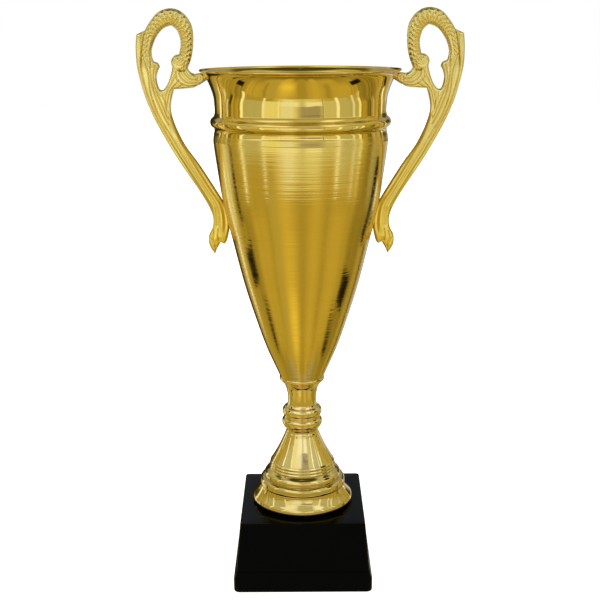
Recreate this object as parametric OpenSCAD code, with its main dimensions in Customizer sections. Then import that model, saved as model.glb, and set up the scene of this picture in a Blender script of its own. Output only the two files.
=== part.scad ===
// Two-handled cup trophy: a spun metal bowl on a stacked stem and a stepped foot,
// drawn down onto a weighted square base by one tie rod, with two cast handles
// screwed on from inside the bowl.
// Z is up and the origin is on the floor at the centre of the base. The handles lie along X.

/* [Bowl] */
// Outer radius of the rolled rim
rim_r = 80; // [78:0.5:82]
// Height of the top of the rim above the floor
rim_z = 428; // [427:0.5:430]
// Thickness of the spun sheet
sheet = 0.8; // [0.6:0.1:1]
// Radius of the centre line of the rolled edge's section
rim_bead_r = 0.8; // [0.6:0.1:0.9]
// How far the ring around the collar stands out
collar_ring_r = 4.3; // [3.8:0.1:4.6]

/* [Stem] */
// Radius of the tie rod that holds the stack together
rod_r = 3; // [2.5:0.5:3]
// Radial clearance around the tie rod
rod_gap = 0.3; // [0.2:0.05:0.5]
// Radius of the spigots that centre the stem pieces in each other
spigot_r = 9; // [8:0.5:9.5]
// Length of each spigot
spigot_l = 2.8; // [2:0.2:2.8]

/* [Base] */
// Half of the base's width at the floor
base_half = 58.2; // [57:0.2:59]
// Half of the base's width at its top
base_top_half = 52.2; // [51:0.2:53]
// Height of the top of the base above the floor
base_z = 60; // [60:1:60]
// Height of the upright face of the plinth round the bottom of the base
plinth_z = 12; // [10:0.5:13]
// Radius of the base's upright corners at the floor
base_corner_r = 5; // [3:0.5:6]
// Wall thickness of the moulded base
base_wall = 3; // [2.5:0.5:3.5]

/* [Handles] */
// Thickness of the handle casting between its raised parts
slab_t = 7.5; // [6:0.5:8]
// Thickness of the casting over its ridges
ridge_t = 10; // [9:0.5:10]
// Thickness of the casting over the loop, the head and the scroll
crest_t = 11.5; // [11:0.5:12]
// Radius of the handle screws
screw_r = 2; // [1.5:0.25:2]

/* [Hidden] */
$fn = 96;

gold = "goldenrod";
steel = "silver";
black = "#151515";

// Heights up the stack
felt_t = 1;
shell_z = 0.6;
plate_t = 2.5;
plate_z = felt_t;
weight_z = 12;
boss_z = 44;
gasket_t = 0.6;
foot_z = base_z + gasket_t;
knot_lower_z = 122.6;
knot_upper_z = 136.2;
cup_z = 146.4;
seat_z = 167.5;
pad_t = 0.8;
bowl_z = seat_z + pad_t;
bore_r = rod_r + rod_gap;
// Longer than any hole, and further than any cut has to reach past a face
through = 200;
over = 1;

// Catmull-Rom curve through the points p, with n steps between each two
function between(a, b, c, d, t) =
    0.5 * (2 * b + (c - a) * t + (2 * a - 5 * b + 4 * c - d) * t * t
        + (3 * b - a - 3 * c + d) * t * t * t);
function curve(p, n = 5) = concat(
    [for (i = [0:len(p) - 2], k = [0:n - 1])
        between(p[max(i - 1, 0)], p[i], p[i + 1], p[min(i + 2, len(p) - 1)], k / n)],
    [p[len(p) - 1]]);
function backwards(p) = [for (i = [len(p) - 1:-1:0]) p[i]];
function arc(c, r, from, to, n) =
    [for (i = [0:n]) c + r * [cos(from + (to - from) * i / n), sin(from + (to - from) * i / n)]];
function along(p, i) =
    let (d = p[min(i + 1, len(p) - 1)] - p[max(i - 1, 0)]) [d[0], d[1]] / norm([d[0], d[1]]);
// Points beside a curve, at the distance w to the left of its direction
function beside(p, w) =
    [for (i = [0:len(p) - 1]) let (d = along(p, i)) [p[i][0] - w * d[1], p[i][1] + w * d[0]]];

// ---- bowl ----

ring_z = 387;
shoulder = [[15, bowl_z], [17.5, 170], [18.5, 173], [21.5, 180], [30, 200], [38.5, 225],
    [47.5, 255], [56, 290], [63, 320], [67.5, 350], [70, 370], [70, 374], [69.5, 378]];
waist = [[68.5, 394.5], [68.5, 398], [69, 406], [71, 413], [73.5, 419],
    [rim_r - 3.5, rim_z - 4], [rim_r - rim_bead_r, rim_z - 1.8]];
wall_curve = concat(
    curve(shoulder),
    [[69, 380], [69, 381.5]],
    arc([68, ring_z], collar_ring_r, -66, 66, 12),
    [[69, 392.5]],
    curve(waist));
inner_curve = beside(wall_curve, sheet);
// Outer radius of the bowl at the height z
function wall_r(z) = lookup(z, [for (p = wall_curve) [p[1], p[0]]]);

module bowl_envelope() {
    rotate_extrude() polygon(concat([[0, bowl_z]], wall_curve, [[0, rim_z - 1.8]]));
}

module bowl_room() {
    rotate_extrude($fn = 360) polygon(concat([[0, bowl_z + sheet]], inner_curve, [[0, rim_z]]));
}

module bowl() {
    color(gold) difference() {
        union() {
            rotate_extrude() {
                polygon(concat([[0, bowl_z]], wall_curve, backwards(inner_curve),
                    [[0, bowl_z + sheet]]));
                translate([rim_r - rim_bead_r, rim_z - rim_bead_r]) circle(rim_bead_r, $fn = 24);
            }
        }
        translate([0, 0, bowl_z - over]) cylinder(r = bore_r, h = sheet + 2 * over);
        for (side = [-1, 1]) screw_places(side)
            cylinder(r = screw_hole_r, h = 2 * over + 4 * sheet, center = true);
    }
}

// ---- handles ----

// Outline and centre lines of the handle, in its own plane: [distance from the axis, height],
// with a half width after them on a centre line
outer_edge = [[128.5, 455], [129.5, 442], [128, 424], [119, 394], [101, 360], [81, 329],
    [73, 313], [72.5, 302], [76, 294], [75.5, 286], [71, 279]];
foot_edge = [[71, 279], [69.5, 283], [66, 289]];
heel_edge = [[66, 289], [63, 287.5], [60.5, 292], [58.5, 304], [60, 314], [64, 323.5],
    [81.5, 352], [93, 368.5], [101, 386], [103.5, 399], [100.5, 412.5]];
arm_low_edge = [[100.5, 412.5], [92, 412], [85, 412.5], [78.5, 416.5], [73.5, 421],
    [73.5, 424]];
arm_top_edge = [[73.5, 424], [79.5, 425], [84, 424.5], [87.5, 426.5], [89.5, 430],
    [89.5, 434]];
eye_edge = [[101, 437], [101.5, 428], [104.5, 418.5], [108, 413], [111, 412], [113, 415],
    [114, 421.5], [112.5, 427], [111, 429.5]];
leaf_edge = [[111, 429.5], [112.5, 433], [116, 434.5], [117, 438]];
loop_line = [[121, 421, 4], [121.5, 436, 4], [120.5, 445, 4], [118, 454, 5],
    [113, 461.5, 5.5], [107, 466.5, 6.5], [100, 468, 6.5], [94.5, 465, 6.5], [90.5, 459, 6],
    [89, 449, 5], [90.5, 439, 5], [93.5, 431, 5]];
limb_line = [[111, 398, 5], [104.5, 380, 4], [92, 359, 3.5], [78, 338, 4],
    [67.5, 319, 4], [66, 305, 4], [70.5, 290, 3]];
wing_line = [[126, 449, 1.5], [127, 439, 2], [124.5, 421, 2], [117.5, 397, 2.5],
    [110.5, 382, 1.5]];
leaf_line = [[113, 430.5, 1.5], [116, 425, 2], [115, 409, 2.5], [110.5, 393, 2]];
arm_line = [[101, 405, 2], [101.5, 415, 2.5], [95.5, 422, 3.5], [88, 419, 4],
    [80, 422, 3]];
head = [96, 433.5];
head_r = 6;
eye = [95, 436];
scroll = [80, 421.5];
scroll_r = 3.5;
wing_notch = [118, 459.5];

upper_fix_z = 421.5;
upper_tilt = 32;
lower_fix_z = 309.5;
lower_tilt = 12;
screw_hold = 8.5;
screw_hole_r = screw_r + 0.15;
screw_head_r = 3.6;
screw_head_h = 2.2;
washer_r = 4.5;
washer_t = 1.4;
eye_r = 2.2;
crest_share = 0.62;

// A ribbon along points [x, z, half width], with round ends
module ribbon(line, widen = 1) {
    p = curve(line, 5);
    left = [for (i = [0:len(p) - 1]) let (d = along(p, i), w = p[i][2] * widen)
        [p[i][0] - w * d[1], p[i][1] + w * d[0]]];
    right = [for (i = [0:len(p) - 1]) let (d = along(p, i), w = p[i][2] * widen)
        [p[i][0] + w * d[1], p[i][1] - w * d[0]]];
    polygon(concat(left, backwards(right)));
    for (e = [0, len(p) - 1]) translate([p[e][0], p[e][1]]) circle(p[e][2] * widen, $fn = 32);
}

// Stands a flat shape up in the XZ plane, with thickness t
module upright(t) {
    rotate([90, 0, 0]) linear_extrude(t, center = true) children();
}

module handle_plan() {
    polygon(concat(curve(outer_edge), curve(foot_edge), curve(heel_edge), curve(arm_low_edge),
        curve(arm_top_edge), [head], curve(eye_edge), curve(leaf_edge), [wing_notch]));
    ribbon(loop_line);
    translate(head) circle(head_r, $fn = 48);
}

// The screw axes of one handle, square to the bowl's wall. Z points out of the bowl.
module screw_places(side) {
    fixes = [[upper_fix_z, upper_tilt], [lower_fix_z, lower_tilt]];
    for (f = fixes)
        translate([side * wall_r(f[0]), 0, f[0]]) rotate([0, side * (90 + f[1]), 0]) children();
}

module handle(side) {
    difference() {
        mirror([side < 0 ? 1 : 0, 0, 0]) union() {
            upright(slab_t) handle_plan();
            upright(crest_t) {
                ribbon(loop_line, crest_share);
                translate(head) circle(head_r * crest_share + over, $fn = 48);
                translate(scroll) circle(scroll_r, $fn = 32);
            }
            upright(ridge_t) {
                ribbon(limb_line);
                ribbon(wing_line);
                ribbon(leaf_line);
                ribbon(arm_line);
            }
            upright(crest_t + 1) translate(eye) circle(eye_r, $fn = 32);
        }
        bowl_envelope();
        screw_places(side) translate([0, 0, -over]) cylinder(r = screw_r, h = screw_hold + over);
    }
}

module handle_left() {
    color(gold) handle(-1);
}

module handle_right() {
    color(gold) handle(1);
}

// Pan-head screws, two for each handle, put in from inside the bowl
module handle_screws() {
    color(steel) for (side = [-1, 1]) screw_places(side) {
        translate([0, 0, -sheet - washer_t]) cylinder(r = screw_r, h = screw_hold + washer_t);
        translate([0, 0, -sheet - washer_t - screw_head_h]) difference() {
            cylinder(r = screw_head_r, h = screw_head_h);
            translate([0, 0, -over]) cylinder(r = 1.4, h = screw_head_h, $fn = 6);
        }
    }
}

// Saddle washers, flat under the screw heads and shaped to the wall on the other side
module handle_washers() {
    color(steel) for (side = [-1, 1]) intersection() {
        screw_places(side) translate([0, 0, -sheet - washer_t]) difference() {
            cylinder(r = washer_r, h = washer_t + 2);
            translate([0, 0, -over]) cylinder(r = screw_hole_r, h = washer_t + 2 + 2 * over);
        }
        bowl_room();
    }
}

// ---- clamp inside the bowl ----

big_washer_t = 1.5;
lock_t = 1.4;
nut_t = 5;
nut_flats = 10;
nut_r = nut_flats / 2 / cos(30);
dome_r = 4.6;
cap_z = bowl_z + sheet + big_washer_t + lock_t;
rod_top = cap_z + nut_t + 2;

module bowl_washer() {
    color(steel) translate([0, 0, bowl_z + sheet]) difference() {
        cylinder(r = 12, h = big_washer_t);
        translate([0, 0, -over]) cylinder(r = bore_r, h = big_washer_t + 2 * over);
    }
}

module rod_lock_washer() {
    color(steel) translate([0, 0, cap_z - lock_t]) difference() {
        cylinder(r = 5.4, h = lock_t);
        translate([0, 0, -over]) cylinder(r = bore_r, h = lock_t + 2 * over);
        translate([0, -0.4, -over]) cube([8, 0.8, lock_t + 2 * over]);
    }
}

module rod_cap_nut() {
    color(steel) translate([0, 0, cap_z]) difference() {
        union() {
            cylinder(r = nut_r, h = nut_t, $fn = 6);
            translate([0, 0, nut_t]) intersection() {
                sphere(r = dome_r);
                cylinder(r = dome_r + over, h = dome_r + over);
            }
        }
        translate([0, 0, -over]) cylinder(r = rod_r, h = rod_top - cap_z + over);
    }
}

// ---- stem ----

module seat_pad() {
    color("white") translate([0, 0, seat_z]) difference() {
        cylinder(r = 14.6, h = pad_t);
        translate([0, 0, -over]) cylinder(r = bore_r, h = pad_t + 2 * over);
    }
}

module spigot() {
    translate([0, 0, -spigot_l]) cylinder(r = spigot_r, h = spigot_l);
}

// Room for the spigot of the piece that stands on the height z
module socket(z) {
    translate([0, 0, z - spigot_l - 0.2]) cylinder(r = spigot_r + 0.1, h = spigot_l + 0.2 + over);
}

module rod_hole() {
    cylinder(r = bore_r, h = through);
}

cup_side = [[13.6, cup_z], [12.6, 148], [12.05, 150.8], [12, 153.5], [12.3, 157], [13, 160.4],
    [13.8, 163.6], [15.4, 166.6], [17.6, 169], [18.9, 170.4], [19.1, 171.6]];

module stem_cup() {
    color(gold) difference() {
        union() {
            rotate_extrude() polygon(concat([[0, cup_z]], curve(cup_side),
                [[19, 172.5], [18.6, 173], [0, 173]]));
            translate([0, 0, cup_z]) spigot();
        }
        bowl_envelope();
        translate([0, 0, seat_z]) cylinder(r = 15.2, h = 10);
        rod_hole();
    }
}

knot_upper_side = [[15.2, knot_upper_z], [15.6, 137], [15.7, 138.4], [16, 139.4], [16.6, 140.6],
    [16.8, 142.2], [16.5, 143.8], [15.6, 145.2], [14.6, 146], [13.6, cup_z]];

module knot_upper() {
    color(gold) difference() {
        union() {
            rotate_extrude() polygon(concat([[0, knot_upper_z]], curve(knot_upper_side, 4),
                [[0, cup_z]]));
            translate([0, 0, knot_upper_z]) spigot();
        }
        socket(cup_z);
        rod_hole();
    }
}

knot_lower_side = [[14.4, knot_lower_z], [13.8, 123.8], [13.6, 125.2], [14.6, 127], [16, 128.8],
    [16.9, 130.8], [17.2, 132.8], [16.9, 134.4], [16, 135.6], [15.2, knot_upper_z]];

module knot_lower() {
    color(gold) difference() {
        union() {
            rotate_extrude() polygon(concat([[0, knot_lower_z]], curve(knot_lower_side, 4),
                [[0, knot_upper_z]]));
            translate([0, 0, knot_lower_z]) spigot();
        }
        socket(knot_upper_z);
        rod_hole();
    }
}

// ---- foot ----

foot_disc = [[39.4, foot_z], [41.5, 61], [42.8, 62.5], [43.2, 64.2], [42.3, 66.5], [40.3, 69],
    [38.3, 71.7], [37, 74.2], [36.4, 76]];
foot_step = [[36.4, 76], [36.8, 77.2], [36.7, 79], [36.2, 80.8], [34.6, 82.6], [32.4, 83.4]];
foot_torus = [[32.4, 83.4], [33, 84.8], [32.6, 86.6], [31.2, 88.4], [29.4, 89.8], [28.4, 90.6]];
foot_rings = [[28.4, 90.6], [28.8, 91.8], [28, 93], [28.2, 94.2], [27.4, 95.4], [27.6, 96.6],
    [26.6, 98]];
foot_cone = [[26.6, 98], [24.8, 101], [22.8, 104.5], [20.4, 109], [18.2, 113.5], [16.2, 118],
    [15, 120.8], [14.4, knot_lower_z]];
foot_room_z = 116;
foot_room = [[36.6, foot_z - over], [36.6, 64], [34, 68.4], [34, 78.5], [30, 82.5], [24, 92],
    [16, 108], [13, foot_room_z]];

module foot() {
    color(gold) difference() {
        rotate_extrude() polygon(concat([[0, foot_z]], curve(foot_disc, 4), curve(foot_step, 3),
            curve(foot_torus, 4), curve(foot_rings, 3), curve(foot_cone, 4), [[0, knot_lower_z]]));
        rotate_extrude() polygon(concat([[0, foot_z - over]], foot_room, [[0, foot_room_z]]));
        socket(knot_lower_z);
        rod_hole();
    }
}

module foot_spacer() {
    color(steel) translate([0, 0, base_z]) difference() {
        cylinder(r = 6, h = foot_room_z - base_z);
        translate([0, 0, -over]) cylinder(r = bore_r, h = through);
    }
}

module foot_gasket() {
    color(black) translate([0, 0, base_z]) difference() {
        cylinder(r = 39, h = gasket_t);
        translate([0, 0, -over]) cylinder(r = 34, h = gasket_t + 2 * over);
    }
}

// ---- tie rod ----

rod_z = 5;

module tie_rod() {
    color(steel) translate([0, 0, rod_z]) cylinder(r = rod_r, h = rod_top - rod_z);
}

// ---- base ----

shoulder_z = 18.5;
plinth_step = 2.2;
top_corner_r = 3;
bevel = 0.5;
post_at = 45.5;
post_r = 4.5;
post_bore_r = 1.5;
top_t = 4;
ledge = 1;
weight_half = 39.5;
boss_r = 11;

module rounded_square(half, r) {
    for (s = [0, 90]) rotate(s) square([2 * half, 2 * (half - r)], center = true);
    for (x = [-1, 1], y = [-1, 1]) translate([x, y] * (half - r)) circle(r);
}

// Four-sided taper with round corners from one square to another
module taper(half_a, r_a, z_a, half_b, r_b, z_b) {
    lip = 0.01;
    hull() {
        for (x = [-1, 1], y = [-1, 1]) {
            translate([x * (half_a - r_a), y * (half_a - r_a), z_a])
                cylinder(r = r_a, h = lip, $fn = 32);
            translate([x * (half_b - r_b), y * (half_b - r_b), z_b - lip])
                cylinder(r = r_b, h = lip, $fn = 32);
        }
    }
}

module at_posts() {
    for (x = [-1, 1], y = [-1, 1]) translate([x * post_at, y * post_at, 0]) children();
}

module base_shell() {
    color(black) difference() {
        union() {
            translate([0, 0, shell_z]) linear_extrude(plinth_z - shell_z)
                rounded_square(base_half, base_corner_r);
            taper(base_half, base_corner_r, plinth_z,
                base_half - plinth_step * 0.35, base_corner_r, (plinth_z + shoulder_z) / 2);
            taper(base_half - plinth_step * 0.35, base_corner_r, (plinth_z + shoulder_z) / 2,
                base_half - plinth_step, base_corner_r - 1, shoulder_z);
            taper(base_half - plinth_step, base_corner_r - 1, shoulder_z,
                base_top_half, top_corner_r, base_z - bevel);
            taper(base_top_half, top_corner_r, base_z - bevel,
                base_top_half - bevel, top_corner_r - bevel, base_z);
        }
        difference() {
            taper(base_half - base_wall - ledge, 3, 0, base_top_half - base_wall, 2, base_z - top_t);
            at_posts() cylinder(r = post_r, h = base_z);
            translate([0, 0, boss_z]) cylinder(r = boss_r, h = base_z);
        }
        linear_extrude(plate_z + plate_t) rounded_square(base_half - base_wall, 3);
        rod_hole();
        at_posts() cylinder(r = post_bore_r, h = 16);
    }
}

module base_weight() {
    color("dimgray") difference() {
        translate([0, 0, weight_z]) linear_extrude(boss_z - weight_z)
            rounded_square(weight_half, 4);
        rod_hole();
    }
}

module base_washer() {
    color(steel) translate([0, 0, weight_z - big_washer_t]) difference() {
        cylinder(r = 9, h = big_washer_t);
        translate([0, 0, -over]) cylinder(r = bore_r, h = big_washer_t + 2 * over);
    }
}

module base_nut() {
    color(steel) translate([0, 0, weight_z - big_washer_t - nut_t]) difference() {
        cylinder(r = nut_r, h = nut_t, $fn = 6);
        translate([0, 0, -over]) cylinder(r = rod_r, h = nut_t + 2 * over);
    }
}

plate_head_h = 1.6;
plate_head_r = 3.1;
plate_gap = 0.2;
felt_gap = 1;

module base_plate() {
    color(black) difference() {
        translate([0, 0, plate_z]) linear_extrude(plate_t)
            rounded_square(base_half - base_wall - plate_gap, 3);
        at_posts() {
            cylinder(r = post_bore_r + plate_gap, h = 10);
            translate([0, 0, plate_z]) cylinder(r1 = plate_head_r + plate_gap,
                r2 = post_bore_r + plate_gap, h = plate_head_h);
        }
    }
}

module plate_screws() {
    color(steel) at_posts() translate([0, 0, plate_z]) difference() {
        union() {
            cylinder(r1 = plate_head_r, r2 = post_bore_r, h = plate_head_h);
            cylinder(r = post_bore_r, h = 13);
        }
        for (turn = [0, 90]) rotate(turn) cube([4, 0.6, 1.6], center = true);
    }
}

module base_felt() {
    color("#20301f") linear_extrude(felt_t) rounded_square(base_half - base_wall - felt_gap, 3);
}

bowl();
handle_left();
handle_right();
handle_screws();
handle_washers();
rod_cap_nut();
rod_lock_washer();
bowl_washer();
seat_pad();
stem_cup();
knot_upper();
knot_lower();
foot();
foot_spacer();
foot_gasket();
tie_rod();
base_shell();
base_weight();
base_washer();
base_nut();
base_plate();
plate_screws();
base_felt();
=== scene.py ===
"""A two-handled cup trophy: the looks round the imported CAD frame."""

import math

import bpy
import numpy as np
from mathutils import Matrix, Vector
from mathutils.geometry import delaunay_2d_cdt


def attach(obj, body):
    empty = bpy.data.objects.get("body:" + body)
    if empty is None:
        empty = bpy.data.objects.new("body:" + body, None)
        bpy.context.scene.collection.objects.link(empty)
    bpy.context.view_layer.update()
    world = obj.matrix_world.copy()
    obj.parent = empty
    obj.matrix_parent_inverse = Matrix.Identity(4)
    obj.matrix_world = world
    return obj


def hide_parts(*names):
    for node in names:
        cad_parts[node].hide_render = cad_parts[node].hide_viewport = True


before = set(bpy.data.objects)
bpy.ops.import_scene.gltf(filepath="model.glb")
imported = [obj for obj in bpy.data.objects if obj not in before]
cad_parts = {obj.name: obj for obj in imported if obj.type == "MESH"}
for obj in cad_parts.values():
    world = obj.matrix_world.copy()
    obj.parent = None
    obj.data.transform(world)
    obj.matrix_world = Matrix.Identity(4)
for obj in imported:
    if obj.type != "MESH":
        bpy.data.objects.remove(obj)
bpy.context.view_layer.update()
MM = 0.001

# ---------------------------------------------------------------- shapes in the XZ half plane, mm

SHEET = 0.8
RING = [68, 387]
RING_R = 4.3


def curve(points, n=5):
    """Catmull-Rom curve through the points, with n steps between each two."""
    p = np.array(points, float)
    out = []
    for i in range(len(p) - 1):
        a, b, c, d = p[max(i - 1, 0)], p[i], p[i + 1], p[min(i + 2, len(p) - 1)]
        for k in range(n):
            t = k / n
            square, cube = 2 * a - 5 * b + 4 * c - d, 3 * b - a - 3 * c + d
            out.append(0.5 * (2 * b + (c - a) * t + square * t * t + cube * t**3))
    out.append(p[-1])
    return np.array(out)


def arc(centre, radius, start, end, n):
    """Points on an arc, angles in degrees."""
    a = np.radians(np.linspace(start, end, n + 1))
    return np.stack([centre[0] + radius * np.cos(a), centre[1] + radius * np.sin(a)], 1)


def beside(points, width):
    """The points moved sideways, to the left of the way they run."""
    p = np.array(points, float)
    d = np.gradient(p, axis=0)
    d /= np.linalg.norm(d, axis=1)[:, None]
    return p + width * np.stack([-d[:, 1], d[:, 0]], 1)


# ---------------------------------------------------------------- nodes and materials


class Nodes:
    """Short names for building one node tree."""

    def __init__(self, tree):
        self.tree = tree

    def new(self, kind, **settings):
        node = self.tree.nodes.new(kind)
        for key, value in settings.items():
            setattr(node, key, value)
        return node

    def link(self, a, b):
        self.tree.links.new(a, b)

    def feed(self, socket, value):
        """Gives a socket what another one puts out, or a number or a colour."""
        if isinstance(value, bpy.types.NodeSocket):
            self.link(value, socket)
        elif isinstance(value, (int, float)):
            socket.default_value = value
        else:
            socket.default_value = (*value, 1)

    def math(self, operation, *values):
        node = self.new("ShaderNodeMath", operation=operation)
        for socket, value in zip(node.inputs, values):
            self.feed(socket, value)
        return node.outputs[0]

    def parts(self, vector):
        """The X, Y and Z of a vector."""
        split = self.new("ShaderNodeSeparateXYZ")
        self.link(vector, split.inputs[0])
        return split.outputs

    def object_point(self, scale=(1, 1, 1)):
        coordinates = self.new("ShaderNodeTexCoord")
        mapping = self.new("ShaderNodeMapping")
        mapping.inputs["Scale"].default_value = scale
        self.link(coordinates.outputs["Object"], mapping.inputs["Vector"])
        return mapping.outputs["Vector"]

    def noise(self, point, scale, detail=3, rough=0.5):
        node = self.new("ShaderNodeTexNoise")
        node.inputs["Scale"].default_value = scale
        node.inputs["Detail"].default_value = detail
        node.inputs["Roughness"].default_value = rough
        self.link(point, node.inputs["Vector"])
        return node.outputs["Fac"]

    def map(self, value, low, high, new_low=0, new_high=1):
        """Stretches low to high into the new range, and keeps to its ends."""
        node = self.new("ShaderNodeMapRange")
        ends = {"From Min": low, "From Max": high, "To Min": new_low, "To Max": new_high}
        for name, number in ends.items():
            node.inputs[name].default_value = number
        self.link(value, node.inputs["Value"])
        return node.outputs["Result"]

    def mix(self, share, a, b):
        """Colour a turned into b by a share. Sockets 6, 7 and output 2 are the node's colours."""
        node = self.new("ShaderNodeMix", data_type="RGBA")
        for socket, value in ((0, share), (6, a), (7, b)):
            self.feed(node.inputs[socket], value)
        return node.outputs[2]


def material(name, colour, metallic=0.0, roughness=0.5, **sockets):
    """A new Principled material. Returns it, its node helper and its shader node."""
    made = bpy.data.materials.new(name)
    made.use_nodes = True
    nodes = Nodes(made.node_tree)
    shader = made.node_tree.nodes["Principled BSDF"]
    shader.inputs["Base Color"].default_value = (*colour, 1)
    shader.inputs["Metallic"].default_value = metallic
    shader.inputs["Roughness"].default_value = roughness
    for key, value in sockets.items():
        shader.inputs[key.replace("_", " ")].default_value = value
    return made, nodes, shader


def emitter(name):
    """A new material that only gives light. Returns it, its node helper and its emission node."""
    made = bpy.data.materials.new(name)
    made.use_nodes = True
    made.node_tree.nodes.clear()
    nodes = Nodes(made.node_tree)
    light = nodes.new("ShaderNodeEmission")
    nodes.link(light.outputs[0], nodes.new("ShaderNodeOutputMaterial").inputs["Surface"])
    return made, nodes, light


def bumped(nodes, shader, height, strength, distance, under=None):
    """Adds a bump from a height, on top of another bump if one is given."""
    bump = nodes.new("ShaderNodeBump")
    bump.inputs["Strength"].default_value = strength
    bump.inputs["Distance"].default_value = distance
    nodes.link(height, bump.inputs["Height"])
    if under is not None:
        nodes.link(under.outputs["Normal"], bump.inputs["Normal"])
    nodes.link(bump.outputs["Normal"], shader.inputs["Normal"])
    return bump


GOLD = (0.78, 0.6, 0.21)
GOLD_DEEP = (0.74, 0.54, 0.16)
# Where one tone of gold turns into the next, laying on painted shade and painted highlight: heights in
# m, and how pointed the surface is
SHADED_LOW_TO_PALE = (0.084, 0.1)
LIMB_TO_LIT_HEAD = (0.31, 0.43)
SHADED_HOLLOW_TO_FLAT = (0.4, 0.49)


def spun_gold():
    """Mirror-polished gold plate, with the slight waviness of spun sheet."""
    made, nodes, shader = material("gold_mirror", GOLD, 1.0, 0.04)
    wide = nodes.noise(nodes.object_point(), 14, 2)
    nodes.link(nodes.map(wide, 0.3, 0.7, 0.02, 0.06), shader.inputs["Roughness"])
    nodes.link(nodes.mix(wide, GOLD, GOLD_DEEP), shader.inputs["Base Color"])
    bumped(nodes, shader, nodes.noise(nodes.object_point((1, 1, 2)), 38, 2), 0.12, 0.001)
    return made


def turned_gold():
    """Gold plate over turning marks that run round the body, and blur what it reflects up and down."""
    made, nodes, shader = material("gold_turned", GOLD, 1.0, 0.13, Anisotropic=0.75)
    lines = nodes.noise(nodes.object_point((2, 2, 500)), 1.0, 1, 0.6)
    fine = nodes.noise(nodes.object_point((14, 14, 1100)), 1.0, 2, 0.6)
    cloud = nodes.noise(nodes.object_point((10, 10, 60)), 1.0, 2)
    nodes.link(nodes.map(fine, 0.3, 0.7, 0.08, 0.18), shader.inputs["Roughness"])
    nodes.link(nodes.mix(cloud, GOLD, GOLD_DEEP), shader.inputs["Base Color"])
    round_axis = nodes.new("ShaderNodeTangent", direction_type="RADIAL", axis="Z")
    nodes.link(round_axis.outputs[0], shader.inputs["Tangent"])
    under = bumped(nodes, shader, lines, 0.35, 0.0003)
    bumped(nodes, shader, fine, 0.2, 0.0002, under)
    return made


def inner_gold():
    """The inside of the spun bowl, bright too but for faint turning marks."""
    made, nodes, shader = material("gold_inside", GOLD_DEEP, 1.0, 0.1)
    lines = nodes.noise(nodes.object_point((5, 5, 500)), 1.0, 3, 0.6)
    nodes.link(nodes.map(lines, 0.3, 0.7, 0.06, 0.14), shader.inputs["Roughness"])
    nodes.link(nodes.mix(lines, GOLD, GOLD_DEEP), shader.inputs["Base Color"])
    bumped(nodes, shader, lines, 0.1, 0.0002)
    return made


def moulded_gold():
    """Plated plastic of the stem and foot: brighter and less even than the metal, with painted shade
    making it deeper low down.
    """
    pale, mid, painted_low_shade = (0.84, 0.68, 0.36), (0.76, 0.58, 0.25), (0.7, 0.55, 0.24)
    made, nodes, shader = material("gold_moulded", pale, 1.0, 0.1)
    height = nodes.parts(nodes.object_point())["Z"]
    # painted shade: the stem and foot turn darker below the height where the gold turns pale
    upper = nodes.mix(nodes.map(height, *SHADED_LOW_TO_PALE), painted_low_shade, pale)
    cloud = nodes.noise(nodes.object_point(), 60, 3)
    nodes.link(nodes.map(cloud, 0.35, 0.65, 0.04, 0.09), shader.inputs["Roughness"])
    colour = nodes.mix(nodes.map(cloud, 0.35, 0.65, 0, 0.5), upper, mid)
    nodes.link(colour, shader.inputs["Base Color"])
    bumped(nodes, shader, nodes.noise(nodes.object_point(), 95, 2), 0.2, 0.001)
    return made


def cast_gold():
    """Satin gold on the handle castings, with a painted highlight making it paler up at the head and
    wing, and painted shade making it darker in the carving.
    """
    top, foot, painted_groove_shade = (0.97, 0.84, 0.42), (0.97, 0.76, 0.2), (0.62, 0.42, 0.14)
    made, nodes, shader = material("gold_cast", top, 1.0, 0.32)
    grain = nodes.noise(nodes.object_point(), 2600, 2)
    cloud = nodes.noise(nodes.object_point(), 90, 3)
    height = nodes.parts(nodes.object_point())["Z"]
    # painted highlight: the casting turns paler from the limb up to the head and wing
    face = nodes.mix(nodes.map(height, *LIMB_TO_LIT_HEAD), foot, top)
    # painted shade: the hollows of the carving are darker, read from how pointed the surface is
    pointed = nodes.new("ShaderNodeNewGeometry").outputs["Pointiness"]
    shade = nodes.mix(nodes.map(pointed, *SHADED_HOLLOW_TO_FLAT), painted_groove_shade, face)
    colour = nodes.mix(nodes.map(cloud, 0.35, 0.65, 0, 0.12), shade, painted_groove_shade)
    nodes.link(colour, shader.inputs["Base Color"])
    nodes.link(nodes.map(cloud, 0.3, 0.7, 0.26, 0.38), shader.inputs["Roughness"])
    bumped(nodes, shader, grain, 0.12, 0.00015)
    return made


def steel():
    """Zinc-plated hardware with faint turning marks."""
    made, nodes, shader = material("steel_plated", (0.62, 0.61, 0.58), 1.0, 0.3)
    cloud = nodes.noise(nodes.object_point(), 300, 3)
    nodes.link(nodes.map(cloud, 0.3, 0.7, 0.22, 0.4), shader.inputs["Roughness"])
    nodes.link(nodes.mix(cloud, (0.66, 0.64, 0.6), (0.52, 0.51, 0.5)), shader.inputs["Base Color"])
    bumped(nodes, shader, nodes.noise(nodes.object_point((1, 1, 12)), 700, 2), 0.2, 0.0001)
    return made


def plain(name, light, dark, rough, scale, strength=0.2, distance=0.0002):
    """A matte procedural finish between two colours."""
    made, nodes, shader = material(name, light, 0.0, rough)
    grain = nodes.noise(nodes.object_point(), scale, 4, 0.6)
    nodes.link(nodes.mix(nodes.map(grain, 0.3, 0.7), light, dark), shader.inputs["Base Color"])
    uneven = nodes.map(grain, 0.3, 0.7, rough * 0.85, min(1, rough * 1.15))
    nodes.link(uneven, shader.inputs["Roughness"])
    bumped(nodes, shader, grain, strength, distance)
    return made


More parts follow.
